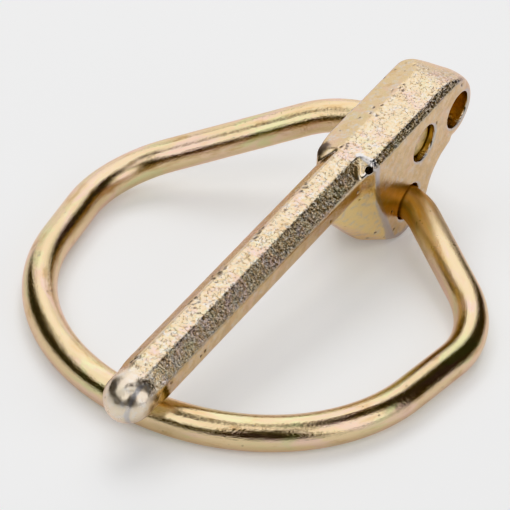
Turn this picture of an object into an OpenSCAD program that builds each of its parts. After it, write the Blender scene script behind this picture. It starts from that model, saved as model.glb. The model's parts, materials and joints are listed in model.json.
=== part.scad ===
// Lynch pin: a forged pin body with an eight-sided shank, and a sprung wire ring.
// Millimetres. It lies on z = 0 as it would come to rest: the ring flat, the belly of the
// head beside it, and the shank sloping down to the bow of the ring. The shank points
// along -Y, the bores run along X, and the origin is under the middle of the whole pin.
// The pin body is drawn in its own pose, with the lower bore along X through [0, 0, 0] and
// the shank level, and is then tilted about that bore. Pairs are [y, z] in that pose.

/* [Shank] */
// Width of the shank across its flats
shank_af = 6.2; // [5.6:0.1:6.8]
// From the lower bore to the end of the tip
tip_reach = 60.6; // [59:0.2:66]

/* [Head] */
// Thickness of the head, along the bores
head_thk = 9; // [8:0.1:9.6]
// How far the head's middle lies to the left of the shank's middle
head_offset = 0.3; // [0:0.05:0.4]
// Height of the flat top above the lower bore, shared by head and shank
top_h = 13.8; // [13.4:0.1:14.2]
// Radius of the belly around the lower bore
belly_r = 5.4; // [5.2:0.1:5.6]
// Radius of the rounded nose
nose_r = 4.4; // [4.2:0.1:4.8]
// Radius where the top runs round into the nose
crown_r = 8; // [7:0.5:9]
// Radius of the hollow between the nose and the belly
throat_r = 6; // [5:0.5:7]

/* [Bores] */
// Diameter of the three bores
bore_d = 5.2; // [4.9:0.1:5.4]
// Upper bore, back from the lower one
upper_back = 3; // [2.6:0.1:3.4]
// Upper bore, above the lower one
upper_up = 8.1; // [7.8:0.1:8.4]
// Chain bore in the nose, back from the lower one
chain_back = 11.6; // [11.4:0.1:12]
// Chain bore in the nose, above the lower one
chain_up = 7.7; // [7.4:0.1:8]

/* [Ring] */
// Diameter of the spring wire
wire_d = 4.5; // [4:0.1:4.6]
// Radius of the bow, to the middle of the wire
bow_r = 25.8; // [25:0.2:27]
// How far the bow's centre lies to the left of the shank
bow_left = 2.9; // [2:0.2:4]
// How far the bow's centre lies ahead of the lower bore
bow_ahead = 28.4; // [27:0.2:30]
// Radius of the two corners, to the middle of the wire
corner_r = 13.4; // [11:0.2:15]
// Radius of the bend where the wire leaves the lower bore
lower_bend_r = 7; // [5:0.5:8]
// Radius of the bend where the wire leaves the upper bore
upper_bend_r = 15; // [8:0.5:15.5]
// Gap between the bow and the underside of the shank
bow_gap = 0.1; // [0.05:0.05:0.3]

/* [Hidden] */
$fn = 96;

wire_r = wire_d / 2;
shank_r = shank_af / 2;
flat_half = shank_r * tan(22.5);
ball_r = shank_r / cos(22.5) + 0.08;
axis_h = top_h - shank_r;
head_left = -head_thk / 2 - head_offset;
head_right = head_thk / 2 - head_offset;

// Tilt at which the underside of the shank clears the bow while the belly and ring lie flat
bow_fall = belly_r - wire_r;
bow_out = bow_ahead + sqrt(bow_r * bow_r - bow_left * bow_left);
under_h = top_h - shank_af - wire_r - bow_gap;
pin_tilt = asin(under_h / norm([bow_out, bow_fall])) + atan2(bow_fall, bow_out);
function tilted(y, z) = [y * cos(pin_tilt) - z * sin(pin_tilt), y * sin(pin_tilt) + z * cos(pin_tilt)];

// Side outline of the head: belly, hollow, nose and crown arcs that run smoothly into each other
nose_c = [11.3, 7.5];
crown_drop = crown_r - nose_r;
crown_c = [nose_c.x - sqrt(crown_drop * crown_drop - pow(top_h - crown_r - nose_c.y, 2)), top_h - crown_r];
crown_end = atan2(nose_c.y - crown_c.y, nose_c.x - crown_c.x);
nose_dist = norm(nose_c);
nose_dir = nose_c / nose_dist;
belly_gap = belly_r + throat_r;
nose_gap = nose_r + throat_r;
throat_along = (belly_gap * belly_gap - nose_gap * nose_gap + nose_dist * nose_dist) / (2 * nose_dist);
throat_down = sqrt(belly_gap * belly_gap - throat_along * throat_along);
throat_c = throat_along * nose_dir + throat_down * [nose_dir.y, -nose_dir.x];
belly_end = atan2(throat_c.y, throat_c.x);
nose_start = atan2(nose_c.y - throat_c.y, nose_c.x - throat_c.x);
function arc(c, r, from, to, steps) =
    [for (i = [0:steps]) let (a = from + (to - from) * i / steps) c + r * [cos(a), sin(a)]];
// Front edge of the flat sides, from the belly up to the shoulder
side_front = [[-3.7, -4.2], [-5.7, 0.4], [-8.2, 6.1], [-9.3, 9.5], [-9.3, top_h]];
// Narrow keel that the sides draw in to, below the shank
keel_w = 2;
keel = [[-15.8, 8.5], [-15.8, 7.2], [-7, -3.4], [-4.4, -4.65], [0, -5.2], [0, 8]];
// Long slopes on the head's top: how far each falls, and how far in the right one starts
left_drop = 1.3;
right_drop = 0.9;
right_in = 0.85;

// Wire of the ring: its end in each bore, the two leg bends, the two corners, and the bow
upper = tilted(upper_back, upper_up);
stub_in = 1;
lap = 0.3;
bow_c = [-bow_left, -bow_ahead, -bow_fall];
right_end = [head_left + stub_in, 0, 0];
right_bend = [5.5, 0, 0];
right_corner = [24.3, -13.9, -bow_fall];
left_corner = [-31.7, -17.6, -bow_fall];
left_bend = [-7.8, upper.x, upper.y];
left_end = [head_right - stub_in, upper.x, upper.y];
// Angle at which the line from a corner meets the bow, on its right or left
function meet(corner, side) =
    let (d = corner - bow_c)
    atan2(d.y, d.x) - side * acos(bow_r / norm([d.x, d.y]));
right_meet = meet(right_corner, 1);
left_meet = meet(left_corner, -1);
function on_bow(a) = bow_c + bow_r * [cos(a), sin(a), 0];
bow_span = (right_meet - left_meet + 720) % 360;

// Round bend at v between the lines to a and b
function unit(v) = v / norm(v);
function half_turn(a, v, b) = acos(unit(a - v) * unit(b - v)) / 2;
function set_back(a, v, b, r) = r / tan(half_turn(a, v, b));
function bend_from(a, v, b, r) = v + unit(a - v) * set_back(a, v, b, r);
function bend_to(a, v, b, r) = v + unit(b - v) * set_back(a, v, b, r);
function bend_c(a, v, b, r) = v + unit(unit(a - v) + unit(b - v)) * r / sin(half_turn(a, v, b));

// How far the middle of a bend reaches along X from its centre
function bend_reach(a, v, b, r) = r * sqrt(1 - pow(unit(cross(a - v, b - v)).x, 2));
// Middle of the footprint, from the widest points of the two corners, the nose and the tip
right_ends = [right_bend, right_corner, on_bow(right_meet)];
left_ends = [left_bend, left_corner, on_bow(left_meet)];
function corner_c(p) = bend_c(p[0], p[1], p[2], corner_r);
function corner_reach(p) = bend_reach(p[0], p[1], p[2], corner_r) + wire_r;
right_most = corner_c(right_ends).x + corner_reach(right_ends);
left_most = corner_c(left_ends).x - corner_reach(left_ends);
nose_end = tilted(nose_c.x, nose_c.y).x + nose_r;
tip_end = tilted(-tip_reach + ball_r, axis_h).x - ball_r;
origin_at = [(right_most + left_most) / 2, (nose_end + tip_end) / 2, -belly_r];

steel_yellow = [0.80, 0.70, 0.48];
wire_yellow = [0.84, 0.73, 0.45];

// Flat outline in [y, z], given its thickness along X between two values of x
module across(x0, x1) {
    translate([x0, 0, 0]) rotate([90, 0, 90]) linear_extrude(height = x1 - x0) children();
}

module head_outline() {
    polygon(concat(
        arc([0, 0], belly_r, -120, belly_end, 16),
        arc(throat_c, throat_r, belly_end + 180, nose_start, 10),
        arc(nose_c, nose_r, nose_start - 180, crown_end, 14),
        arc(crown_c, crown_r, crown_end, 90, 10),
        [for (i = [len(side_front) - 1:-1:0]) side_front[i]]
    ));
}

// Sides that draw in towards the shank, as one drafted wedge
module shoulder() {
    hull() {
        across(head_left, head_right) polygon(concat([[0, -5]], side_front, [[0, top_h]]));
        across(-keel_w / 2, keel_w / 2) polygon(keel);
    }
}

// A long wedge taken off one top edge of the head, sloping down by drop from x0 to x1
module edge_cut(x0, x1, drop) {
    high = [x0 - (x1 - x0) / 2, top_h + drop / 2];
    low = [x1 + (x1 - x0) / 2, top_h - drop * 3 / 2];
    translate([0, nose_c.x + nose_r + 2, 0]) rotate([90, 0, 0]) linear_extrude(height = 45)
        polygon([high, low, [low.x, high.y + 1], [high.x, high.y + 1]]);
}

module head() {
    difference() {
        union() {
            across(head_left, head_right) head_outline();
            shoulder();
        }
        edge_cut(-flat_half, head_left, left_drop);
        edge_cut(head_right - right_in, head_right, right_drop);
    }
}

module shank() {
    translate([0, 0, axis_h]) rotate([90, 22.5, 0])
        cylinder(r = shank_r / cos(22.5), h = tip_reach - ball_r, $fn = 8);
    translate([0, -tip_reach + ball_r, axis_h]) sphere(r = ball_r);
}

module bore(y, z) {
    translate([head_left - 1, y, z]) rotate([0, 90, 0]) cylinder(d = bore_d, h = head_thk + 2);
}

module pin_body() {
    color(steel_yellow) translate(-origin_at) rotate([pin_tilt, 0, 0]) difference() {
        union() {
            shank();
            head();
        }
        bore(0, 0);
        bore(upper_back, upper_up);
        bore(chain_back, chain_up);
    }
}

// Straight wire from a to b. It is a hair thinner than the bends and laps into the next one
// at each end that meets a bend, which makes the ring one solid.
module rod(a, b, lap_a = lap, lap_b = lap) {
    d = b - a;
    translate(a - unit(d) * lap_a) rotate([0, acos(d.z / norm(d)), atan2(d.y, d.x)])
        cylinder(r = wire_r - 0.01, h = norm(d) + lap_a + lap_b);
}

// Bent wire at v, between the lines to a and b
module bend(a, v, b, r) {
    c = bend_c(a, v, b, r);
    ex = unit(bend_from(a, v, b, r) - c);
    ez = unit(cross(ex, bend_to(a, v, b, r) - c));
    ey = cross(ez, ex);
    multmatrix([[ex.x, ey.x, ez.x, c.x], [ex.y, ey.y, ez.y, c.y], [ex.z, ey.z, ez.z, c.z]])
        rotate_extrude(angle = 180 - 2 * half_turn(a, v, b)) translate([r, 0]) circle(r = wire_r);
}

// One leg: the stub in its bore, its bend, the straight leg, its corner and the line to the bow
module leg(stub, root, corner, meet_at, root_r) {
    join = on_bow(meet_at);
    rod(stub, bend_from(stub, root, corner, root_r), lap_a = 0);
    bend(stub, root, corner, root_r);
    rod(bend_to(stub, root, corner, root_r), bend_from(root, corner, join, corner_r));
    bend(root, corner, join, corner_r);
    rod(bend_to(root, corner, join, corner_r), join);
}

module ring() {
    color(wire_yellow) translate(-origin_at) {
        leg(right_end, right_bend, right_corner, right_meet, lower_bend_r);
        leg(left_end, left_bend, left_corner, left_meet, upper_bend_r);
        translate(bow_c) rotate([0, 0, left_meet])
            rotate_extrude(angle = bow_span) translate([bow_r, 0]) circle(r = wire_r);
    }
}

pin_body();
ring();
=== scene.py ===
import json
import math
import bmesh
import bpy
import numpy as np
from mathutils import Matrix, Vector

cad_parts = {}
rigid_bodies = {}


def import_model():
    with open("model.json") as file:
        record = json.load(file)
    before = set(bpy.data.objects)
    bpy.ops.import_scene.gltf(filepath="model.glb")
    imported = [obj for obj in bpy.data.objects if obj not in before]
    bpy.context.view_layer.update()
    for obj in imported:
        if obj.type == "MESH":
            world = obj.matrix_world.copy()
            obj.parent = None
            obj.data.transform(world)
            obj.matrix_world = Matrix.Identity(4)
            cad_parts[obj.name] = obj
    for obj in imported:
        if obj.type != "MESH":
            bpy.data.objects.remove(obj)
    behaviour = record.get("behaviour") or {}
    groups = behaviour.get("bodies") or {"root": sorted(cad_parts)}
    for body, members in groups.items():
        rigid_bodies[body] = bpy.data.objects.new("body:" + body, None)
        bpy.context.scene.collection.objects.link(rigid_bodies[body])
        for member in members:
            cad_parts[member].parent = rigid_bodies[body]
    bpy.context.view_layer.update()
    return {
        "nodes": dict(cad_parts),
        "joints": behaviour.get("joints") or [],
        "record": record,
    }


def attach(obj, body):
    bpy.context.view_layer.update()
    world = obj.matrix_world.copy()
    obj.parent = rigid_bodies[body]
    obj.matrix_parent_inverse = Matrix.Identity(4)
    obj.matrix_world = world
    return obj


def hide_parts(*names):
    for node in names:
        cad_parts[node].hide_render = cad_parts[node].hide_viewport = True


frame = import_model()

mounts = {m["name"]: m for m in frame["record"]["mounts"]}
hinge = Vector(frame["joints"][0]["pos_m"])
shankAxis = Vector(mounts["shank"]["axis"])
tilt = math.asin(-shankAxis.z)


# Small helpers for node trees
def put(tree, kind, sockets=None, **settings):
    node = tree.nodes.new(kind)
    for name, value in settings.items():
        setattr(node, name, value)
    for key, value in (sockets or {}).items():
        if isinstance(value, bpy.types.NodeSocket):
            tree.links.new(value, node.inputs[key])
        else:
            node.inputs[key].default_value = value
    return node


def calc(tree, operation, *values, clamp=False):
    node = put(tree, "ShaderNodeMath", dict(enumerate(values)), operation=operation, use_clamp=clamp)
    return node.outputs[0]


def calcVector(tree, operation, *values):
    sockets = dict(enumerate(values))
    if operation == "SCALE":
        sockets = {0: values[0], "Scale": values[1]}
    node = put(tree, "ShaderNodeVectorMath", sockets, operation=operation)
    return node.outputs["Value" if operation in ("DOT_PRODUCT", "LENGTH", "DISTANCE") else "Vector"]


def ramp(tree, value, low, high, start=0.0, end=1.0):
    sockets = {"Value": value, "From Min": low, "From Max": high, "To Min": start, "To Max": end}
    return put(tree, "ShaderNodeMapRange", sockets, interpolation_type="SMOOTHSTEP").outputs["Result"]


def noise(tree, coord, scale, detail=2.0, roughness=0.5, distortion=0.0):
    sockets = {"Vector": coord, "Scale": scale, "Detail": detail, "Roughness": roughness,
               "Distortion": distortion}
    return put(tree, "ShaderNodeTexNoise", sockets).outputs[0]


def blendColour(tree, factor, first, second, mode="MIX"):
    sockets = {0: factor, 6: first, 7: second}
    return put(tree, "ShaderNodeMix", sockets, data_type="RGBA", blend_type=mode).outputs[2]


def newTree(name, kind, inputs, outputs):
    tree = bpy.data.node_groups.new(name, kind)
    for socketName, (socketType, default) in inputs.items():
        socket = tree.interface.new_socket(socketName, in_out="INPUT", socket_type=socketType)
        if default is not None:
            socket.default_value = default
    for socketName, socketType in outputs.items():
        tree.interface.new_socket(socketName, in_out="OUTPUT", socket_type=socketType)
    return tree, tree.nodes.new("NodeGroupInput").outputs, tree.nodes.new("NodeGroupOutput").inputs


def store(tree, geometry, name, value, kind="FLOAT"):
    sockets = {"Geometry": geometry, "Name": name, "Value": value}
    return put(tree, "GeometryNodeStoreNamedAttribute", sockets, data_type=kind, domain="POINT").outputs[0]


def recall(tree, name, kind="FLOAT"):
    return put(tree, "GeometryNodeInputNamedAttribute", {"Name": name}, data_type=kind).outputs[0]


def realDressed(tree, geometry, material):
    real = put(tree, "GeometryNodeRealizeInstances", {0: geometry}).outputs[0]
    return put(tree, "GeometryNodeSetMaterial", {"Geometry": real, "Material": material}).outputs[0]


def addNodes(obj, tree, values):
    modifier = obj.modifiers.new(tree.name, "NODES")
    modifier.node_group = tree
    for item in tree.interface.items_tree:
        if item.item_type == "SOCKET" and item.in_out == "INPUT" and item.name in values:
            modifier[item.identifier] = values[item.name]


def settle(obj, name):
    graph = bpy.context.evaluated_depsgraph_get()
    mesh = bpy.data.meshes.new_from_object(obj.evaluated_get(graph))
    mesh.name = name
    bpy.data.objects.remove(obj)
    return mesh


def newObject(name, data):
    obj = bpy.data.objects.new(name, data)
    bpy.context.scene.collection.objects.link(obj)
    return obj


floatSocket, vectorSocket = "NodeSocketFloat", "NodeSocketVector"
colourSocket, intSocket = "NodeSocketColor", "NodeSocketInt"
geometrySocket, materialSocket = "NodeSocketGeometry", "NodeSocketMaterial"


# Shader groups
def makeZincTint():
    inputs = {"Coord": (vectorSocket, None), "Patch size": (floatSocket, 4.0),
              "Gold": (colourSocket, None), "Blush": (colourSocket, None),
              "Olive": (colourSocket, None), "Deep": (colourSocket, None)}
    tree, given, result = newTree("zincTint", "ShaderNodeTree", inputs, {"Colour": colourSocket})
    scale = calc(tree, "DIVIDE", 1.0, given["Patch size"])
    shifted = calcVector(tree, "ADD", given["Coord"], (31.0, 17.0, 53.0))
    farther = calcVector(tree, "ADD", given["Coord"], (-71.0, 44.0, 12.0))
    blush = ramp(tree, noise(tree, given["Coord"], scale, 3.0, 0.55, 0.6), 0.46, 0.66)
    olive = ramp(tree, noise(tree, shifted, scale, 3.0, 0.55, 0.6), 0.50, 0.68)
    deep = ramp(tree, noise(tree, farther, calc(tree, "MULTIPLY", scale, 1.7), 4.0, 0.6), 0.53, 0.70)
    colour = blendColour(tree, blush, given["Gold"], given["Blush"])
    colour = blendColour(tree, olive, colour, given["Olive"])
    colour = blendColour(tree, calc(tree, "MULTIPLY", deep, 0.6), colour, given["Deep"])
    tree.links.new(colour, result["Colour"])
    return tree


def makeEdgeWear():
    inputs = {"Edge": (floatSocket, 0.0), "Coord": (vectorSocket, None),
              "Start": (floatSocket, 0.02), "Full": (floatSocket, 0.08), "Break-up": (floatSocket, 0.03)}
    tree, given, result = newTree("edgeWear", "ShaderNodeTree", inputs, {"Mask": floatSocket})
    patchy = calc(tree, "SUBTRACT", noise(tree, given["Coord"], 0.9, 5.0, 0.65), 0.5)
    worn = calc(tree, "MULTIPLY_ADD", patchy, given["Break-up"], given["Edge"])
    tree.links.new(ramp(tree, worn, given["Start"], given["Full"]), result["Mask"])
    return tree


def makeGrain():
    inputs = {"Coord": (vectorSocket, None), "Size": (floatSocket, 0.3)}
    outputs = {"Height": floatSocket, "Shaded hollows": floatSocket}
    tree, given, result = newTree("forgedGrain", "ShaderNodeTree", inputs, outputs)
    scale = calc(tree, "DIVIDE", 1.0, given["Size"])
    bumps = ramp(tree, noise(tree, given["Coord"], scale, 2.0, 0.55, 0.5), 0.48, 0.72)
    fine = noise(tree, given["Coord"], calc(tree, "MULTIPLY", scale, 1.8), 3.0, 0.65)
    shifted = calcVector(tree, "ADD", given["Coord"], (13.0, 29.0, 7.0))
    # Painted shade: patches where the grain's hollows are made darker
    shadedHollows = ramp(tree, noise(tree, shifted, scale, 3.0, 0.6, 0.4), 0.46, 0.60)
    tree.links.new(calc(tree, "MULTIPLY_ADD", fine, 0.8, bumps), result["Height"])
    tree.links.new(shadedHollows, result["Shaded hollows"])
    return tree


def makeSpecks():
    inputs = {"Coord": (vectorSocket, None), "Size": (floatSocket, 0.8), "Share": (floatSocket, 0.1)}
    tree, given, result = newTree("specks", "ShaderNodeTree", inputs, {"Mask": floatSocket})
    scale = calc(tree, "DIVIDE", 1.0, given["Size"])
    wobble = noise(tree, given["Coord"], calc(tree, "MULTIPLY", scale, 2.5), 2.0)
    cells = put(tree, "ShaderNodeTexVoronoi", {"Vector": given["Coord"], "Scale": scale}, feature="F1")
    chosen = put(tree, "ShaderNodeSeparateColor", {"Color": cells.outputs["Color"]}).outputs[0]
    reach = calc(tree, "MULTIPLY_ADD", wobble, 0.25, cells.outputs["Distance"])
    spot = ramp(tree, reach, 0.34, 0.22)
    picked = calc(tree, "LESS_THAN", chosen, given["Share"])
    tree.links.new(calc(tree, "MULTIPLY", spot, picked), result["Mask"])
    return tree


zincTint = makeZincTint()
edgeWear = makeEdgeWear()
forgedGrain = makeGrain()
specks = makeSpecks()


def useGroup(tree, group, sockets):
    return put(tree, "ShaderNodeGroup", sockets, node_tree=group).outputs


def newMaterial(name):
    material = bpy.data.materials.new(name)
    material.use_nodes = True
    tree = material.node_tree
    shader = tree.nodes["Principled BSDF"]
    shader.inputs["Metallic"].default_value = 1.0
    return material, tree, shader


def addBump(tree, shader, height, distance):
    bump = put(tree, "ShaderNodeBump", {"Height": height, "Strength": 1.0, "Distance": distance})
    tree.links.new(bump.outputs[0], shader.inputs["Normal"])


def attribute(tree, name, output="Fac"):
    return put(tree, "ShaderNodeAttribute", attribute_name=name).outputs[output]


specularTint = (1.0, 0.86, 0.84, 1)


# Pin body: the forging, rounded all over, with its seam, dents and pits
pinBody = {  # in millimetres: across, along (back is +), and up, from the lower bore
    "voxel": 0.185,
    "edgeRounds": 5,
    "cornerRounds": 60,
    "axisHeight": 10.7,
    "topHeight": 13.8,
    "sides": (-4.8, 4.2),  # the head's left and right faces
    "sideRounds": ((0.9, 3.9), (0.3, 1.3)),  # each side's round on the flat top and at the nose
    "noseCentre": (11.3, 7.5),  # back and up
    "noseRadius": 4.4,
    "crownRadius": 8.0,
    "noseBulge": {"middle": 1.2, "halfWidth": 3.2, "back": 15.5, "reach": 5.5, "above": 7.5,
                  "push": (0.30, 0.35)},
    "bores": ((0.0, 0.0), (3.0, 8.1), (11.6, 7.7)),  # lower, upper and chain bore, back and up
    "softSpots": (  # centre, reach, and whether the chain bore's edge stays crisp
        ((-0.3, 14.0, 12.0), 4.8, True),
        ((-4.8, -9.3, 12.5), 3.2, False),
        ((0.0, -5.0, -4.5), 4.5, False),
        ((3.4, -5.0, -3.5), 3.0, False),
    ),
    "tipBall": -57.2,  # where the tip's ball has its centre, along the shank
    "tipAcross": 0.91,  # how wide the ball is beside the shank's corners
    "tipReach": 3.2,  # how far back from its middle the ball narrows
    "tipLonger": 0.32,
    "seamAcross": 1.6,
    "seamHalfWidth": 0.35,
    "seamDepth": 0.06,
    "shoulder": (2.9, -10.6, 12.7),
    "leftShoulder": (-3.9, -9.9, 12.75),
    "dimple": (3.5, -10.2, 12.95),
    "dimpleReach": 0.56,
    "dimpleDepth": 0.55,
    "dents": (  # centre, reach and depth
        ((-4.3, -9.0, 12.2), 1.4, 0.10),
        ((0.2, -59.3, 12.9), 0.9, 0.07),
        ((-0.6, -60.0, 11.9), 0.8, 0.06),
        ((0.9, -58.6, 13.4), 0.7, 0.09),
        ((-1.6, -59.6, 11.0), 0.9, 0.05),
        ((2.6, -58.2, 12.6), 0.8, 0.08),
        ((0.1, -60.1, 12.2), 0.5, 0.10),
        ((-1.1, -59.2, 12.9), 0.6, 0.08),
        ((0.9, -60.4, 10.6), 0.45, 0.06),
        ((1.5, -57.2, 13.9), 0.9, 0.07),
    ),
    "wornEdges": (  # start, end, reach and strength
        ((1.3, -9.3, 13.7), (3.5, -9.3, 13.4), 0.75, 0.11),
        ((4.2, -9.2, 12.4), (4.2, -8.2, 6.1), 0.95, 0.09),
        ((4.2, -8.2, 6.1), (4.2, -3.7, -4.2), 1.15, 0.09),
        ((4.2, -3.7, -4.2), (4.2, 2.0, -5.0), 0.9, 0.07),
    ),
    "masks": {  # the value where each begins, and where it is full
        "above": (0.76, 0.84),
        "below": (-0.75, -0.92),
        "shoulderGrain": (0.9, 1.7),
        "boreWall": (2.85, 2.66),
        "seam": (0.4, 0.05),
        "seamOnBall": (-55.6, -57.4),
        "onBall": (-55.0, -57.0),
        # painted light: where the wedge's face gets its brighter gold
        "wedgeLightForward": (-0.12, -0.3),
        "wedgeLightRight": (0.3, 0.5),
        "wedgeLightAlong": (-18.0, -16.5),
        "wedgeLightUnderTop": (10.5, 9.5),
        "flank": (0.9, 0.97),
        "ridge": (1.3, 0.2),
        "onTop": (13.0, 13.5),
        "leftCornerDark": (2.1, 1.35),
    },
    "skin": {
        "Undulation": 0.035,
        "Undulation size": 1.5,
        "Grain height": 0.045,
        "Grain size": 0.5,
        "Pit depth": 0.11,
        "Pit radius": 0.34,
        "Ridge pits": 1.7,
        "Stray pits": 0.022,
        "Seed": 4,
    },
    "tint": {
        "Patch size": 3.2,
        "Gold": (0.70, 0.58, 0.38, 1),
        "Blush": (0.72, 0.54, 0.45, 1),
        "Olive": (0.65, 0.58, 0.37, 1),
        "Deep": (0.50, 0.31, 0.13, 1),
    },
    "layers": {  # the most that each colour covers, and the colour
        # partly the smooth faces' own tone, partly painted shade: a darker orange gold on the faces that are
        # not grainy
        "side": (0.5, (0.64, 0.46, 0.24, 1)),
        "bore": (0.85, (0.76, 0.50, 0.21, 1)),
        # painted light: a brighter gold on the wedge's face that looks forward and right
        "paintedWedgeLight": (0.85, (0.93, 0.75, 0.37, 1)),
        "film": (0.6, (0.62, 0.60, 0.58, 1)),
        # painted highlight: a pale cream laid over the ball at the tip
        "ball": (0.4, (0.90, 0.81, 0.68, 1)),
        "flank": (0.62, (0.52, 0.38, 0.19, 1)),
        "worn": (0.75, (0.47, 0.475, 0.51, 1)),
        "grainy": (0.2, (0.47, 0.475, 0.51, 1)),
        # painted shade: a darker brown in the grain's hollows
        "shadedHollows": (0.6, (0.50, 0.33, 0.15, 1)),
        "pits": (0.9, (0.10, 0.085, 0.075, 1)),
        # painted shade: near black inside the dimple
        "paintedDimpleShade": (1.0, (0.02, 0.016, 0.012, 1)),
    },
    # Partly film and partly painted highlight: the extra pale film on the ball
    "filmAndHighlightOnBall": 0.3,
    "flankLeast": 0.12,
    "wear": {"Start": 0.045, "Full": 0.115, "Break-up": 0.06},
    "dots": {"Size": 0.9, "Share": 0.12},
    "grainSize": 0.40,
    "grainBump": 0.000065,
    "roughness": (0.17, 0.27),
    "grainyRougher": -0.06,
    "pitRougher": 0.3,
    "ballRougher": 0.10,
}

# The pin is shaped with its shank level, and the wire with the ring lying flat
turn = Matrix.Rotation(tilt, 4, "X")
boreStep = turn @ Vector((0, *pinBody["bores"][1]))
lowerBore = hinge - boreStep / 2000
wireSpace = Matrix.Translation(lowerBore) @ Matrix.Scale(0.001, 4)
pinSpace = Matrix.Translation(lowerBore) @ turn @ Matrix.Scale(0.001, 4)


def makePinZinc():
    material, tree, shader = newMaterial("pinZinc")
    masks, layers = pinBody["masks"], pinBody["layers"]
    coord = attribute(tree, "pinCoord", "Vector")
    grainy = attribute(tree, "grainy")

    def cover(name, mask, under):
        share, colour = layers[name]
        return blendColour(tree, calc(tree, "MULTIPLY", mask, share), under, colour)

    tint = useGroup(tree, zincTint, {"Coord": coord, **pinBody["tint"]})["Colour"]
    # Partly own tone, partly painted shade: the faces that are not grainy are darkened
    side = calc(tree, "SUBTRACT", 1.0, grainy)
    tint = cover("side", side, tint)
    tint = cover("bore", attribute(tree, "inBore"), tint)
    # Painted light: the wedge's face is brightened
    tint = cover("paintedWedgeLight", attribute(tree, "paintedWedgeLight"), tint)
    sockets = {"Edge": attribute(tree, "edge"), "Coord": coord, **pinBody["wear"]}
    worn = useGroup(tree, edgeWear, sockets)["Mask"]
    grain = useGroup(tree, forgedGrain, {"Coord": coord, "Size": pinBody["grainSize"]})
    dots = useGroup(tree, specks, {"Coord": coord, **pinBody["dots"]})["Mask"]
    pits = calc(tree, "MAXIMUM", attribute(tree, "pit"), calc(tree, "MULTIPLY", dots, 0.5), clamp=True)
    along = put(tree, "ShaderNodeSeparateXYZ", {0: coord}).outputs[1]
    onBall = ramp(tree, along, *masks["onBall"])
    film = ramp(tree, noise(tree, coord, 1.0, 5.0, 0.7), 0.47, 0.66)
    share, filmColour = layers["film"]
    # On the ball the pale film is raised, partly film and partly painted highlight
    ballFilmAndHighlight = calc(tree, "MULTIPLY", onBall, pinBody["filmAndHighlightOnBall"])
    film = calc(tree, "MULTIPLY_ADD", film, share, ballFilmAndHighlight)
    tint = blendColour(tree, film, tint, filmColour)
    # Painted highlight: the ball is made a paler cream
    tint = cover("ball", onBall, tint)
    share, flankColour = layers["flank"]
    mottled = ramp(tree, noise(tree, coord, 0.75, 4.0, 0.6, 0.5), 0.40, 0.62, pinBody["flankLeast"], share)
    mottled = calc(tree, "MULTIPLY", attribute(tree, "flank"), mottled)
    tint = blendColour(tree, mottled, tint, flankColour)
    colour = cover("worn", worn, tint)
    colour = cover("grainy", grainy, colour)
    # Painted shade in the hollows of the grainy faces
    colour = cover("shadedHollows", calc(tree, "MULTIPLY", grain["Shaded hollows"], grainy), colour)
    colour = cover("pits", pits, colour)
    # Painted shade: the inside of the dimple is made near black
    toDimple = calcVector(tree, "DISTANCE", coord, pinBody["dimple"])
    toDimple = calc(tree, "MULTIPLY_ADD", noise(tree, coord, 2.2), 0.2, toDimple)
    paintedDimpleShade = ramp(tree, toDimple, pinBody["dimpleReach"] + 0.14, pinBody["dimpleReach"] + 0.02)
    colour = cover("paintedDimpleShade", paintedDimpleShade, colour)
    tree.links.new(colour, shader.inputs["Base Color"])
    blotch = noise(tree, coord, 0.8, 4.0, 0.6)
    rough = ramp(tree, blotch, 0.3, 0.7, *pinBody["roughness"])
    for mask, change in ((grainy, "grainyRougher"), (pits, "pitRougher"), (onBall, "ballRougher")):
        rough = calc(tree, "MULTIPLY_ADD", mask, pinBody[change], rough)
    tree.links.new(rough, shader.inputs["Roughness"])
    strength = calc(tree, "MULTIPLY_ADD", grainy, 0.92, 0.08)
    height = calc(tree, "MULTIPLY", grain["Height"], strength)
    addBump(tree, shader, height, pinBody["grainBump"])
    shader.inputs["Specular Tint"].default_value = specularTint
    return material


def mergedCopy(nodeName, space):
    mesh = frame["nodes"][nodeName].data.copy()
    mesh.transform(space.inverted())
    shell = bmesh.new()
    shell.from_mesh(mesh)
    bmesh.ops.remove_doubles(shell, verts=shell.verts, dist=0.002)
    shell.to_mesh(mesh)
    shell.free()
    mesh.materials.clear()
    return mesh


def remeshed(mesh, voxel):
    obj = newObject("rough", mesh)
    modifier = obj.modifiers.new("voxels", "REMESH")
    modifier.mode = "VOXEL"
    modifier.voxel_size = voxel
    return settle(obj, "forging")


def readPoints(mesh):
    flat = np.empty(len(mesh.vertices) * 3)
    mesh.vertices.foreach_get("co", flat)
    return flat.reshape(-1, 3)


def readEdges(mesh):
    flat = np.empty(len(mesh.edges) * 2, dtype=np.int64)
    mesh.edges.foreach_get("vertices", flat)
    return flat.reshape(-1, 2)


def relax(points, edges, weight, rounds):
    count = len(points)
    first, second = edges[:, 0], edges[:, 1]
    degree = np.bincount(edges.ravel(), minlength=count)
    for _ in range(rounds):
        for axis in range(3):
            line = points[:, axis]
            total = np.bincount(first, line[second], count) + np.bincount(second, line[first], count)
            points[:, axis] = line + weight * (total / degree - line)


def smoothFall(distance, reach):
    t = np.clip(1 - distance / reach, 0, 1)
    return t * t * (3 - 2 * t)


def near(points, centre, reach):
    return smoothFall(np.linalg.norm(points - np.array(centre), axis=1), reach)


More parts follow.
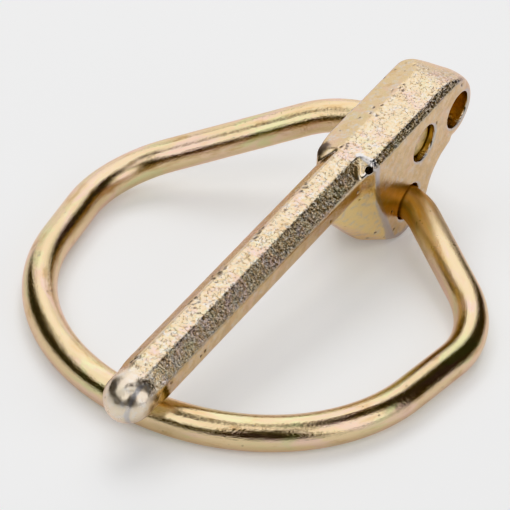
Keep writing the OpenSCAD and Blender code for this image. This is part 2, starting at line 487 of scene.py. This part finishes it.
def roundNose(points, side, faceX, flatRound, noseRound):
    # Rounds the edge between one side face and the top, crown and nose. The round grows from
    # flatRound on the flat top to noseRound at the nose.
    nose = np.array(pinBody["noseCentre"])
    drop = pinBody["crownRadius"] - pinBody["noseRadius"]
    crown = np.array((nose[0], pinBody["topHeight"] - pinBody["crownRadius"]))
    crown[0] -= math.sqrt(drop * drop - (crown[1] - nose[1]) ** 2)
    flat = points[:, 1:]
    fromNose, fromCrown = flat - nose, flat - crown
    crownEnd = math.atan2(*(nose - crown)[::-1])
    angle = np.arctan2(fromCrown[:, 1], fromCrown[:, 0])
    onNose = (angle < crownEnd) & (fromNose[:, 0] > -1)
    onTop = (fromCrown[:, 0] < 0) & (flat[:, 1] > crown[1])
    onCrown = ~onNose & ~onTop & (fromCrown[:, 1] > 0)
    outward = np.where(onNose[:, None], fromNose, fromCrown)
    outward[onTop] = (0, 1)
    length = np.linalg.norm(outward, axis=1)
    outward = outward / length[:, None]
    depth = np.where(onNose, pinBody["noseRadius"], pinBody["crownRadius"]) - length
    depth[onTop] = pinBody["topHeight"] - flat[onTop, 1]
    turned = np.clip((math.pi / 2 - angle) / (math.pi / 2 - crownEnd), 0, 1)
    turned[onTop] = 0
    radius = flatRound + (noseRound - flatRound) * turned * turned * (3 - 2 * turned)
    inset = side * (faceX - points[:, 0])
    gap = np.stack([depth - radius, inset - radius], 1)
    reach = np.linalg.norm(gap, axis=1)
    held = (onNose | onTop | onCrown) & (gap < 0).all(1) & (reach > radius) & (flat[:, 0] > -9)
    pulled = gap * (radius / np.maximum(reach, 1e-6))[:, None]
    deeper = np.where(held, pulled[:, 0] - gap[:, 0], 0)
    points[:, 1:] -= outward * deeper[:, None]
    points[:, 0] -= side * np.where(held, pulled[:, 1] - gap[:, 1], 0)


def shapeForging():
    mesh = remeshed(mergedCopy("pin_body", pinSpace), pinBody["voxel"])
    points, edges = readPoints(mesh), readEdges(mesh)
    left, right = pinBody["sides"]
    leftRound, rightRound = pinBody["sideRounds"]
    noseBulge = pinBody["noseBulge"]
    roundNose(points, -1, left, *leftRound)
    roundNose(points, 1, right, *rightRound)
    bulge = smoothFall(np.abs(points[:, 0] - noseBulge["middle"]), noseBulge["halfWidth"])
    bulge = bulge * smoothFall(noseBulge["back"] - points[:, 1], noseBulge["reach"])
    raised = bulge * (points[:, 2] > noseBulge["above"])
    points[:, 1:] += raised[:, None] * np.array(noseBulge["push"])
    relax(points, edges, 0.5, pinBody["edgeRounds"])
    clearOfBore = np.linalg.norm(points[:, 1:] - np.array(pinBody["noseCentre"]), axis=1) > 3.5
    soft = np.zeros(len(points))
    for centre, reach, boreStaysCrisp in pinBody["softSpots"]:
        soft = np.maximum(soft, near(points, centre, reach) * (clearOfBore if boreStaysCrisp else 1))
    relax(points, edges, 0.5 * soft, pinBody["cornerRounds"])
    mesh.vertices.foreach_set("co", points.ravel())
    mesh.update()
    normals = np.empty(len(points) * 3)
    mesh.vertices.foreach_get("normal", normals)
    normals = normals.reshape(-1, 3)
    # The narrower and longer ball, the seam over it, the dimple in the right shoulder, and the dents
    atTip = smoothFall(np.maximum(points[:, 1] - pinBody["tipBall"] - 0.2, 0), pinBody["tipReach"])
    squeeze = 1 - (1 - pinBody["tipAcross"]) * atTip
    longer = smoothFall(np.maximum(points[:, 1] - pinBody["tipBall"], 0), 2.5)
    points[:, 1] -= pinBody["tipLonger"] * longer
    points[:, 0] *= squeeze
    points[:, 2] = pinBody["axisHeight"] + (points[:, 2] - pinBody["axisHeight"]) * squeeze
    seam = smoothFall(np.abs(points[:, 0] - pinBody["seamAcross"]), pinBody["seamHalfWidth"])
    onBall = smoothFall(points[:, 1] - pinBody["tipBall"] + 4, 4.5)
    points -= normals * (pinBody["seamDepth"] * seam * onBall)[:, None]
    dimple = (pinBody["dimple"], pinBody["dimpleReach"], pinBody["dimpleDepth"])
    for centre, reach, depth in (dimple, *pinBody["dents"]):
        points -= normals * (depth * near(points, centre, reach))[:, None]
    mesh.vertices.foreach_set("co", points.ravel())
    mesh.update()
    return mesh


def nearLine(tree, place, start, end, reach):
    span = Vector(end) - Vector(start)
    fromStart = calcVector(tree, "SUBTRACT", place, start)
    ahead = calcVector(tree, "DOT_PRODUCT", fromStart, tuple(span))
    share = calc(tree, "DIVIDE", ahead, span.length_squared, clamp=True)
    nearest = calcVector(tree, "SCALE", tuple(span), share)
    return ramp(tree, calcVector(tree, "DISTANCE", fromStart, nearest), reach, reach * 0.25)


def makeForgedSkin():
    inputs = {"Geometry": (geometrySocket, None), "Material": (materialSocket, None),
              "Undulation": (floatSocket, 0.03), "Undulation size": (floatSocket, 1.5),
              "Grain height": (floatSocket, 0.02), "Grain size": (floatSocket, 0.4),
              "Pit depth": (floatSocket, 0.1), "Pit radius": (floatSocket, 0.3),
              "Ridge pits": (floatSocket, 0.5), "Stray pits": (floatSocket, 0.02), "Seed": (intSocket, 1)}
    tree, given, result = newTree("forgedSkin", "GeometryNodeTree", inputs, {"Geometry": geometrySocket})
    masks = pinBody["masks"]
    place = put(tree, "GeometryNodeInputPosition").outputs[0]
    normal = put(tree, "GeometryNodeInputNormal").outputs[0]
    across = put(tree, "ShaderNodeSeparateXYZ", {0: place}).outputs
    facing = put(tree, "ShaderNodeSeparateXYZ", {0: normal}).outputs
    upRight = calcVector(tree, "DOT_PRODUCT", normal, (0.5, 0.0, 0.866))
    above = ramp(tree, upRight, *masks["above"])
    below = calc(tree, "MULTIPLY", ramp(tree, facing[2], *masks["below"]), 0.7)
    offBall = ramp(tree, across[1], pinBody["tipBall"], pinBody["tipBall"] + 2.0, 0.15, 1.0)
    grainy = calc(tree, "MULTIPLY", calc(tree, "MAXIMUM", above, below), offBall)
    toShoulder = calcVector(tree, "DISTANCE", place, pinBody["shoulder"])
    offShoulder = ramp(tree, toShoulder, *masks["shoulderGrain"])
    grainy = calc(tree, "MULTIPLY", grainy, offShoulder)
    grainy = calc(tree, "MULTIPLY", grainy, ramp(tree, facing[0], 0.15, 0.5, 0.86, 1.0))

    inBore = 0.0
    for back, up in pinBody["bores"]:
        sockets = {1: calc(tree, "SUBTRACT", across[1], back), 2: calc(tree, "SUBTRACT", across[2], up)}
        fromAxis = calcVector(tree, "LENGTH", put(tree, "ShaderNodeCombineXYZ", sockets).outputs[0])
        inBore = calc(tree, "MAXIMUM", inBore, ramp(tree, fromAxis, *masks["boreWall"]))

    # How far each point stands out from a softened copy of the surface
    softened = put(tree, "GeometryNodeBlurAttribute", {"Iterations": 14}, data_type="FLOAT_VECTOR")
    vectorIn = [s for s in softened.inputs if s.type == "VECTOR" and s.enabled][0]
    vectorOut = [s for s in softened.outputs if s.type == "VECTOR" and s.enabled][0]
    tree.links.new(place, vectorIn)
    edge = calcVector(tree, "DOT_PRODUCT", calcVector(tree, "SUBTRACT", place, vectorOut), normal)
    aside = calc(tree, "ABSOLUTE", calc(tree, "SUBTRACT", across[0], pinBody["seamAcross"]))
    seam = ramp(tree, aside, *masks["seam"])
    seam = calc(tree, "MULTIPLY", seam, ramp(tree, across[1], *masks["seamOnBall"]))
    edge = calc(tree, "MULTIPLY_ADD", seam, 0.085, edge)
    worn = 0.0
    for start, end, reach, strength in pinBody["wornEdges"]:
        line = calc(tree, "MULTIPLY", nearLine(tree, place, start, end, reach), strength)
        worn = calc(tree, "MAXIMUM", worn, line)
    edge = calc(tree, "ADD", worn, edge)
    shoulderEdge = nearLine(tree, place, *pinBody["wornEdges"][0][:3])
    grainy = calc(tree, "MULTIPLY", grainy, calc(tree, "SUBTRACT", 1.0, shoulderEdge))
    # Painted light: the wedge's face that looks forward and right, below the top, is picked out for a
    # brighter gold
    paintedWedgeLight = ramp(tree, facing[1], *masks["wedgeLightForward"])
    for value, mask in ((facing[0], "wedgeLightRight"), (across[1], "wedgeLightAlong"), (across[2], "wedgeLightUnderTop")):
        paintedWedgeLight = calc(tree, "MULTIPLY", paintedWedgeLight, ramp(tree, value, *masks[mask]))

    # Pits: many along the left ridge of the top, and a few anywhere
    ridge = ramp(tree, calc(tree, "ABSOLUTE", calc(tree, "ADD", across[0], 1.2)), *masks["ridge"])
    onTop = ramp(tree, across[2], *masks["onTop"])
    clumps = ramp(tree, noise(tree, place, 0.35, 2.0), 0.52, 0.66)
    dense = calc(tree, "MULTIPLY", calc(tree, "MULTIPLY", ridge, onTop), clumps)
    density = calc(tree, "MULTIPLY_ADD", dense, given["Ridge pits"], given["Stray pits"])
    spots = put(tree, "GeometryNodeDistributePointsOnFaces",
                {"Mesh": given["Geometry"], "Density": density, "Seed": given["Seed"]})
    gap = put(tree, "GeometryNodeProximity", {0: spots.outputs["Points"]}, target_element="POINTS")
    ragged = calc(tree, "MULTIPLY_ADD", noise(tree, place, 2.4, 2.0), 0.5, gap.outputs["Distance"])
    reach = calc(tree, "ADD", given["Pit radius"], 0.22)
    pit = ramp(tree, ragged, reach, calc(tree, "MULTIPLY", reach, 0.55))
    # The left shoulder corner is darkened with the pit colour
    toCorner = calcVector(tree, "DISTANCE", place, pinBody["leftShoulder"])
    toCorner = calc(tree, "MULTIPLY_ADD", noise(tree, place, 1.6, 3.0), 1.2, toCorner)
    pitsAndDarkCorner = calc(tree, "MAXIMUM", pit, ramp(tree, toCorner, *masks["leftCornerDark"]))

    waveScale = calc(tree, "DIVIDE", 1.0, given["Undulation size"])
    wave = calc(tree, "SUBTRACT", noise(tree, place, waveScale, 2.0), 0.5)
    crumbScale = calc(tree, "DIVIDE", 1.0, given["Grain size"])
    crumb = calc(tree, "SUBTRACT", noise(tree, place, crumbScale, 1.0), 0.5)
    lift = calc(tree, "MULTIPLY", wave, given["Undulation"])
    lift = calc(tree, "MULTIPLY_ADD", calc(tree, "MULTIPLY", crumb, grainy), given["Grain height"], lift)
    lift = calc(tree, "SUBTRACT", lift, calc(tree, "MULTIPLY", pit, given["Pit depth"]))
    shape = given["Geometry"]
    flank = ramp(tree, facing[0], *masks["flank"])
    # The stored pit also holds the darkened left shoulder corner
    stored = {"edge": edge, "grainy": grainy, "pit": pitsAndDarkCorner, "inBore": inBore, "paintedWedgeLight": paintedWedgeLight, "flank": flank}
    for name, value in stored.items():
        shape = store(tree, shape, name, value)
    shape = store(tree, shape, "pinCoord", place, "FLOAT_VECTOR")
    offset = calcVector(tree, "SCALE", normal, lift)
    moved = put(tree, "GeometryNodeSetPosition", {"Geometry": shape, "Offset": offset}).outputs[0]
    smooth = put(tree, "GeometryNodeSetShadeSmooth", {0: moved}).outputs[0]
    tree.links.new(realDressed(tree, smooth, given["Material"]), result["Geometry"])
    return tree


def makePinBody():
    obj = newObject("forging", shapeForging())
    addNodes(obj, makeForgedSkin(), {**pinBody["skin"], "Material": makePinZinc()})
    mesh = settle(obj, "pinForging")
    mesh.transform(pinSpace)
    piece = newObject("pinForging", mesh)
    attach(piece, "pin")
    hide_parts("pin_body")
    print("pin body:", len(mesh.polygons), "faces")


# Ring: one wire swept along straight lines and round bends
ring = {  # in millimetres from the lower bore
    "headLeft": -4.8,
    "headRight": 4.2,
    "endInside": 1.0,
    "bowCentre": (-2.9, -28.4, -3.15),
    "bowRadius": 25.8,
    "rightBend": (5.5, 0.0, 0.0),
    "rightCorner": (24.3, -13.9, -3.15),
    "leftCorner": (-31.7, -17.6, -3.15),
    "leftBend": -7.8,
    "cornerRadius": 13.4,
    "lowerBendRadius": 7.0,
    "upperBendRadius": 15.0,
    "sweep": {
        "Wire radius": 2.25,
        "Point spacing": 0.3,
        "Sides": 56,
        "End chamfer": 0.35,
        "Waviness": 0.012,
        "Draw marks": 0.0035,
        "Pit depth": 0.05,
        "Pit radius": 0.16,
        "Pits": 0.035,
        "Seed": 11,
    },
    "tint": {
        "Patch size": 2.6,
        "Gold": (0.70, 0.55, 0.34, 1),
        "Blush": (0.73, 0.54, 0.42, 1),
        "Olive": (0.62, 0.57, 0.33, 1),
        "Deep": (0.52, 0.34, 0.16, 1),
    },
    "burnt": (0.72, 0.37, 0.10, 1),
    "pit": (0.10, 0.085, 0.075, 1),
    "dots": {"Size": 0.8, "Share": 0.16},
    "bump": 0.00003,
    "roughness": (0.08, 0.18),
    "satinRougher": 0.30,
    "pitRougher": 0.3,
    "cutFace": {"tint": {"Patch size": 1.2, "Gold": (0.74, 0.60, 0.32, 1)}, "roughness": 0.42,
                "bump": 0.00004},
}


def makeWireZinc():
    material, tree, shader = newMaterial("wireZinc")
    coord = attribute(tree, "wireCoord", "Vector")

    def squashed(*factors):
        return calcVector(tree, "MULTIPLY", coord, factors)

    sockets = {"Coord": squashed(1.0, 1.0, 0.3), **ring["tint"]}
    tint = useGroup(tree, zincTint, sockets)["Colour"]
    along = put(tree, "ShaderNodeSeparateXYZ", {0: coord}).outputs[2]
    # The burnt stain and the satin stretch both begin at the end in the lower bore
    streaks = noise(tree, squashed(1.0, 1.0, 0.12), 0.9, 3.0, 0.6)
    burnt = ramp(tree, calc(tree, "MULTIPLY_ADD", streaks, 16.0, along), 25.0, 13.0)
    tint = blendColour(tree, calc(tree, "MULTIPLY", burnt, 0.9), tint, ring["burnt"])
    dots = useGroup(tree, specks, {"Coord": coord, **ring["dots"]})["Mask"]
    pits = calc(tree, "MAXIMUM", attribute(tree, "pit"), calc(tree, "MULTIPLY", dots, 0.45), clamp=True)
    colour = blendColour(tree, calc(tree, "MULTIPLY", pits, 0.85), tint, ring["pit"])
    tree.links.new(colour, shader.inputs["Base Color"])
    drawn = noise(tree, squashed(1.0, 1.0, 0.03), 5.0, 3.0, 0.6)
    rough = ramp(tree, noise(tree, coord, 0.9, 4.0, 0.6), 0.35, 0.7, *ring["roughness"])
    satin = ramp(tree, calc(tree, "MULTIPLY_ADD", noise(tree, coord, 0.3), 6.0, along), 28.0, 16.0)
    rough = calc(tree, "MULTIPLY_ADD", satin, ring["satinRougher"], rough)
    rough = calc(tree, "MULTIPLY_ADD", pits, ring["pitRougher"], rough)
    tree.links.new(rough, shader.inputs["Roughness"])
    peel = noise(tree, squashed(1.0, 1.0, 0.55), 3.2, 3.0, 0.62)
    fine = noise(tree, squashed(1.0, 1.0, 0.8), 4.5, 3.0, 0.65)
    height = calc(tree, "MULTIPLY_ADD", peel, 0.8, calc(tree, "MULTIPLY_ADD", drawn, 0.5, fine))
    addBump(tree, shader, height, ring["bump"])
    shader.inputs["Specular Tint"].default_value = specularTint
    return material


def makeCutFace():
    material, tree, shader = newMaterial("cutFaceZinc")
    coord = attribute(tree, "wireCoord", "Vector")
    look = ring["cutFace"]
    sockets = {"Coord": coord, **ring["tint"], **look["tint"]}
    tree.links.new(useGroup(tree, zincTint, sockets)["Colour"], shader.inputs["Base Color"])
    shader.inputs["Roughness"].default_value = look["roughness"]
    sheared = noise(tree, calcVector(tree, "MULTIPLY", coord, (0.5, 3.0, 1.0)), 3.0, 4.0, 0.6)
    addBump(tree, shader, sheared, look["bump"])
    return material


def bendPoints(before, corner, after, radius, step=2.0):
    a, v, b = (Vector(p) for p in (before, corner, after))
    toA, toB = (a - v).normalized(), (b - v).normalized()
    half = toA.angle(toB) / 2
    centre = v + (toA + toB).normalized() * radius / math.sin(half)
    start = v + toA * radius / math.tan(half) - centre
    end = v + toB * radius / math.tan(half) - centre
    swing = start.angle(end)
    steps = max(4, round(math.degrees(swing) / step))
    axis = start.cross(end).normalized()
    return [centre + Matrix.Rotation(swing * i / steps, 3, axis) @ start for i in range(steps + 1)]


def meetBow(corner, side):
    shape = ring
    offset = Vector(corner) - Vector(shape["bowCentre"])
    away = math.atan2(offset.y, offset.x)
    return away - side * math.acos(shape["bowRadius"] / offset.to_2d().length)


def wirePath():
    shape = ring
    bow, radius = Vector(shape["bowCentre"]), shape["bowRadius"]
    rightAngle, leftAngle = meetBow(shape["rightCorner"], 1), meetBow(shape["leftCorner"], -1)
    span = (leftAngle - rightAngle) % (2 * math.pi) - 2 * math.pi
    steps = round(abs(math.degrees(span)) / 2)
    angles = [rightAngle + span * i / steps for i in range(steps + 1)]
    bowPoints = [bow + radius * Vector((math.cos(a), math.sin(a), 0)) for a in angles]
    rightEnd = (shape["headLeft"] + shape["endInside"], 0, 0)
    leftBend = (shape["leftBend"], boreStep.y, boreStep.z)
    leftEnd = (shape["headRight"] - shape["endInside"], boreStep.y, boreStep.z)
    rightRoot = bendPoints(rightEnd, shape["rightBend"], shape["rightCorner"], shape["lowerBendRadius"])
    rightTurn = bendPoints(shape["rightBend"], shape["rightCorner"], bowPoints[0], shape["cornerRadius"])
    leftTurn = bendPoints(bowPoints[-1], shape["leftCorner"], leftBend, shape["cornerRadius"])
    leftRoot = bendPoints(shape["leftCorner"], leftBend, leftEnd, shape["upperBendRadius"])
    return [Vector(rightEnd), *rightRoot, *rightTurn, *bowPoints, *leftTurn, *leftRoot, Vector(leftEnd)]


def pathCurve(name, points):
    curve = bpy.data.curves.new(name, "CURVE")
    curve.dimensions = "3D"
    spline = curve.splines.new("POLY")
    spline.points.add(len(points) - 1)
    for slot, point in zip(spline.points, points):
        slot.co = (*point, 1)
    return newObject(name, curve)


def makeWireSweep():
    inputs = {"Geometry": (geometrySocket, None), "Material": (materialSocket, None),
              "End material": (materialSocket, None), "Wire radius": (floatSocket, 2.25),
              "Point spacing": (floatSocket, 0.3), "Sides": (intSocket, 48),
              "End chamfer": (floatSocket, 0.3),
              "Waviness": (floatSocket, 0.01), "Draw marks": (floatSocket, 0.003),
              "Pit depth": (floatSocket, 0.05), "Pit radius": (floatSocket, 0.2),
              "Pits": (floatSocket, 0.03), "Seed": (intSocket, 1)}
    tree, given, result = newTree("wireSweep", "GeometryNodeTree", inputs, {"Geometry": geometrySocket})
    path = put(tree, "GeometryNodeResampleCurve",
               {"Curve": given["Geometry"], "Length": given["Point spacing"]}, mode="LENGTH").outputs[0]
    along = put(tree, "GeometryNodeSplineParameter").outputs["Length"]
    whole = put(tree, "GeometryNodeSplineLength").outputs["Length"]
    fromEnd = calc(tree, "MINIMUM", along, calc(tree, "SUBTRACT", whole, along))
    inEnd = calc(tree, "SUBTRACT", given["End chamfer"], fromEnd)
    cut = calc(tree, "DIVIDE", calc(tree, "MAXIMUM", inEnd, 0.0), given["Wire radius"])
    path = store(tree, path, "along", along)
    path = put(tree, "GeometryNodeSetCurveRadius",
               {"Curve": path, "Radius": calc(tree, "SUBTRACT", 1.0, cut)}).outputs[0]
    circle = put(tree, "GeometryNodeCurvePrimitiveCircle",
               {"Resolution": given["Sides"], "Radius": given["Wire radius"]}).outputs["Curve"]
    place = put(tree, "GeometryNodeInputPosition").outputs[0]
    circle = store(tree, circle, "around", place, "FLOAT_VECTOR")
    tube = put(tree, "GeometryNodeCurveToMesh",
               {"Curve": path, "Profile Curve": circle, "Fill Caps": True}).outputs[0]

    # Straightened-out position on the wire, which the marks and the finish follow
    around = recall(tree, "around", "FLOAT_VECTOR")
    length = recall(tree, "along")
    flat = put(tree, "ShaderNodeSeparateXYZ", {0: around}).outputs
    straight = put(tree, "ShaderNodeCombineXYZ", {0: flat[0], 1: flat[1], 2: length}).outputs[0]
    tube = store(tree, tube, "wireCoord", straight, "FLOAT_VECTOR")
    coord = recall(tree, "wireCoord", "FLOAT_VECTOR")
    waveCoord = calcVector(tree, "MULTIPLY", coord, (0.45, 0.45, 0.22))
    wave = calc(tree, "SUBTRACT", noise(tree, waveCoord, 1.0, 2.0), 0.5)
    lineCoord = calcVector(tree, "MULTIPLY", coord, (3.0, 3.0, 0.05))
    lines = calc(tree, "SUBTRACT", noise(tree, lineCoord, 1.0, 2.0), 0.5)
    spots = put(tree, "GeometryNodeDistributePointsOnFaces",
                {"Mesh": tube, "Density": given["Pits"], "Seed": given["Seed"]})
    gap = put(tree, "GeometryNodeProximity", {0: spots.outputs["Points"]}, target_element="POINTS")
    ragged = calc(tree, "MULTIPLY_ADD", noise(tree, place, 3.5, 2.0), 0.3, gap.outputs["Distance"])
    reach = calc(tree, "ADD", given["Pit radius"], 0.12)
    pit = ramp(tree, ragged, reach, calc(tree, "MULTIPLY", reach, 0.4))
    lift = calc(tree, "MULTIPLY", wave, given["Waviness"])
    lift = calc(tree, "MULTIPLY_ADD", lines, given["Draw marks"], lift)
    lift = calc(tree, "SUBTRACT", lift, calc(tree, "MULTIPLY", pit, given["Pit depth"]))
    normal = put(tree, "GeometryNodeInputNormal").outputs[0]
    tube = store(tree, tube, "pit", pit)
    tube = put(tree, "GeometryNodeSetPosition",
               {"Geometry": tube, "Offset": calcVector(tree, "SCALE", normal, lift)}).outputs[0]
    corners = put(tree, "GeometryNodeInputMeshFaceNeighbors").outputs["Vertex Count"]
    isCap = calc(tree, "GREATER_THAN", corners, 5.0)
    for sockets in ({"Shade Smooth": True}, {"Selection": isCap, "Shade Smooth": False}):
        tube = put(tree, "GeometryNodeSetShadeSmooth", {0: tube, **sockets}).outputs[0]
    tube = realDressed(tree, tube, given["Material"])
    sockets = {"Geometry": tube, "Selection": isCap, "Material": given["End material"]}
    tube = put(tree, "GeometryNodeSetMaterial", sockets).outputs[0]
    tree.links.new(tube, result["Geometry"])
    return tree


def makeRing():
    obj = pathCurve("wirePath", wirePath())
    materials = {"Material": makeWireZinc(), "End material": makeCutFace()}
    addNodes(obj, makeWireSweep(), {**ring["sweep"], **materials})
    mesh = settle(obj, "springWire")
    mesh.transform(wireSpace)
    piece = newObject("springWire", mesh)
    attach(piece, "ring")
    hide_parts("ring")
    print("ring:", len(mesh.polygons), "faces")


makePinBody()
makeRing()


# Floor, lights and camera
studio = {
    "floorSize": 3.0,
    "floorColour": (0.92, 0.92, 0.92, 1),
    "floorGlow": 0.2,
    "surround": (0.055, 0.055, 0.058, 1),
}
lamps = {  # brightness is what a mirror would show
    "overhead": {"place": (-0.30, 0.40, 0.70), "size": (0.64, 0.64), "aim": (0, 0, -1), "brightness": 2.1},
    "leftOverhead": {"place": (-0.48, -0.30, 0.70), "size": (0.53, 0.76), "aim": (0, 0, -1),
                     "brightness": 1.5},
    "zenith": {"place": (0.06, 0.02, 0.78), "size": (0.3, 0.4), "aim": (0, 0, -1), "brightness": 0.5},
    "leftBack": {"place": (-0.57, 0.82, 0.40), "size": (1.25, 0.9), "aim": (0.57, -0.82, -0.3),
                 "brightness": 1.05},
    "right": {"place": (0.82, 0.03, 0.45), "size": (0.62, 0.75), "aim": (-0.82, -0.03, -0.42),
              "brightness": 1.7},
    "frontLeft": {"place": (0.09, -0.63, 0.64), "size": (0.42, 0.5), "aim": (-0.09, 0.63, -0.64),
                  "brightness": 1.9},
    "frontStrip": {"place": (0.25, -0.20, 0.75), "size": (0.45, 0.15), "aim": (-0.25, 0.2, -0.75),
                   "brightness": 2.2},
}
view = {"aim": (-0.00055, -0.0019, 0.0071), "azimuth": 28.06, "elevation": 36.81, "roll": 8.26,
        "distance": 0.3615, "lens": 202.4}


def makeFloor():
    half = studio["floorSize"] / 2
    mesh = bpy.data.meshes.new("floor")
    corners = [(-half, -half, 0), (half, -half, 0), (half, half, 0), (-half, half, 0)]
    mesh.from_pydata(corners, [], [(0, 1, 2, 3)])
    floor = newObject("floor", mesh)
    material, tree, shader = newMaterial("paleFloor")
    shader.inputs["Metallic"].default_value = 0.0
    shader.inputs["Base Color"].default_value = studio["floorColour"]
    shader.inputs["Roughness"].default_value = 0.7
    shader.inputs["Emission Color"].default_value = studio["floorColour"]
    shader.inputs["Emission Strength"].default_value = studio["floorGlow"]
    mesh.materials.append(material)


def makeLamps():
    for name, values in lamps.items():
        light = bpy.data.lights.new(name, "AREA")
        light.shape = "RECTANGLE"
        light.size, light.size_y = values["size"]
        light.energy = values["brightness"] * math.pi * light.size * light.size_y
        lamp = newObject(name, light)
        lamp.location = values["place"]
        lamp.rotation_euler = Vector(values["aim"]).to_track_quat("-Z", "Y").to_euler()
    world = bpy.data.worlds.new("surround")
    world.use_nodes = True
    world.node_tree.nodes["Background"].inputs["Color"].default_value = studio["surround"]
    bpy.context.scene.world = world


def makeCamera():
    azimuth, elevation = math.radians(view["azimuth"]), math.radians(view["elevation"])
    level = math.cos(elevation)
    back = Vector((math.sin(azimuth) * level, -math.cos(azimuth) * level, math.sin(elevation)))
    data = bpy.data.cameras.new("camera")
    data.lens = view["lens"]
    data.sensor_width = 36
    camera = newObject("camera", data)
    camera.location = Vector(view["aim"]) + back * view["distance"]
    facing = (-back).to_track_quat("-Z", "Y").to_matrix().to_4x4()
    rolled = facing @ Matrix.Rotation(math.radians(view["roll"]), 4, "Z")
    camera.rotation_euler = rolled.to_euler()
    bpy.context.scene.camera = camera


makeFloor()
makeLamps()
makeCamera()
bpy.context.scene.view_settings.view_transform = "Khronos PBR Neutral"
print("studio ready")
